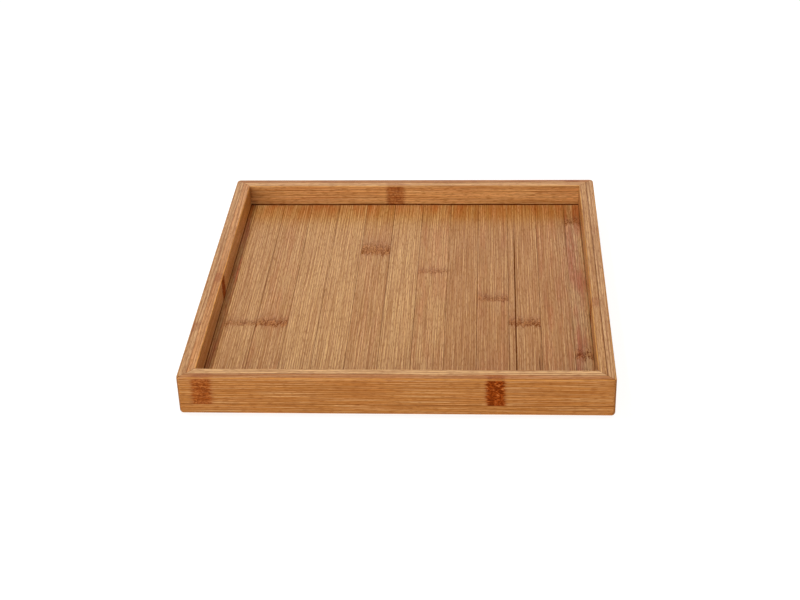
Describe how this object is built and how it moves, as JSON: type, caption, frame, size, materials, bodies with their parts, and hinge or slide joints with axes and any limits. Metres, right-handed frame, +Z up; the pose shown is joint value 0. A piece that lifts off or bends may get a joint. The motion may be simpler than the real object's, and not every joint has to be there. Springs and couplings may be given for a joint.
{
  "type": "serving tray",
  "caption": "Square laminated bamboo serving tray: low mitred rails round a recessed floor of edge-glued strips, with no handles, resting flat on its rails.",
  "frame": {"origin": "centre of the square footprint, on the surface that the tray stands on", "axes": "+Z up, out of the tray's open top; +X to the right and -Y to the front; the floor's strips run along Y"},
  "size_m": [0.3, 0.3, 0.03],
  "materials": {
    "rail_outer_bamboo": "satin clear lacquer over carbonised bamboo, warm brown",
    "rail_inner_bamboo": "satin clear lacquer over carbonised bamboo, pale golden brown",
    "floor_bamboo": "satin clear lacquer over flat bamboo strips of slightly different tones"
  },
  "bodies": {
    "root": {"front_rail_outer_lower_strip": "rail_outer_bamboo", "front_rail_outer_upper_strip": "rail_outer_bamboo", "front_rail_inner_lower_strip": "rail_inner_bamboo", "front_rail_inner_upper_strip": "rail_inner_bamboo", "right_rail_outer_lower_strip": "rail_outer_bamboo", "right_rail_outer_upper_strip": "rail_outer_bamboo", "right_rail_inner_lower_strip": "rail_inner_bamboo", "right_rail_inner_upper_strip": "rail_inner_bamboo", "back_rail_outer_lower_strip": "rail_outer_bamboo", "back_rail_outer_upper_strip": "rail_outer_bamboo", "back_rail_inner_lower_strip": "rail_inner_bamboo", "back_rail_inner_upper_strip": "rail_inner_bamboo", "left_rail_outer_lower_strip": "rail_outer_bamboo", "left_rail_outer_upper_strip": "rail_outer_bamboo", "left_rail_inner_lower_strip": "rail_inner_bamboo", "left_rail_inner_upper_strip": "rail_inner_bamboo", "floor_strip_01": "floor_bamboo", "floor_strip_02": "floor_bamboo", "floor_strip_03": "floor_bamboo", "floor_strip_04": "floor_bamboo", "floor_strip_05": "floor_bamboo", "floor_strip_06": "floor_bamboo", "floor_strip_07": "floor_bamboo", "floor_strip_08": "floor_bamboo", "floor_strip_09": "floor_bamboo", "floor_strip_10": "floor_bamboo", "floor_strip_11": "floor_bamboo", "floor_strip_12": "floor_bamboo", "floor_strip_13": "floor_bamboo"}
  },
  "joints": []
}
